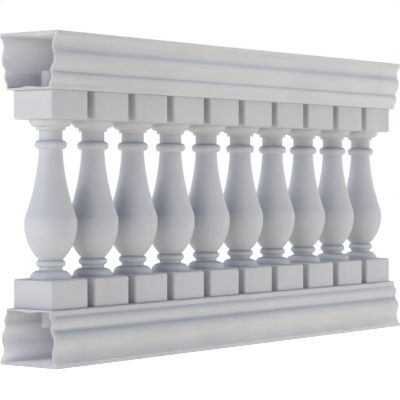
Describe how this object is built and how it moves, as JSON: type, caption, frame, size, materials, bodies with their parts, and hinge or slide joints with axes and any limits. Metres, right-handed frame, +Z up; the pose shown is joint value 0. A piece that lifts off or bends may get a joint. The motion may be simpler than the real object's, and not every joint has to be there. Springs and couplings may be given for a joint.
{
  "type": "deck railing section",
  "caption": "Straight balustrade section: turned balusters on square blocks, dowelled between two hollow moulded rails with open ends.",
  "frame": {"origin": "middle of the flat underside of the bottom rail, on the surface that it stands on", "axes": "+X along the rails to the right, +Y from the front to the back, +Z up"},
  "size_m": [1.7642, 0.2126, 0.914],
  "materials": {
    "rail": "smooth matte white moulded skin",
    "baluster": "smooth matte white moulding",
    "dowel": "plain off-white moulded rod"
  },
  "bodies": {
    "root": {"bottom_rail": "rail", "top_rail": "rail", "baluster_01": "baluster", "baluster_02": "baluster", "baluster_03": "baluster", "baluster_04": "baluster", "baluster_05": "baluster", "baluster_06": "baluster", "baluster_07": "baluster", "baluster_08": "baluster", "baluster_09": "baluster", "baluster_10": "baluster", "lower_dowel_01": "dowel", "lower_dowel_02": "dowel", "lower_dowel_03": "dowel", "lower_dowel_04": "dowel", "lower_dowel_05": "dowel", "lower_dowel_06": "dowel", "lower_dowel_07": "dowel", "lower_dowel_08": "dowel", "lower_dowel_09": "dowel", "lower_dowel_10": "dowel", "upper_dowel_01": "dowel", "upper_dowel_02": "dowel", "upper_dowel_03": "dowel", "upper_dowel_04": "dowel", "upper_dowel_05": "dowel", "upper_dowel_06": "dowel", "upper_dowel_07": "dowel", "upper_dowel_08": "dowel", "upper_dowel_09": "dowel", "upper_dowel_10": "dowel"}
  },
  "joints": []
}
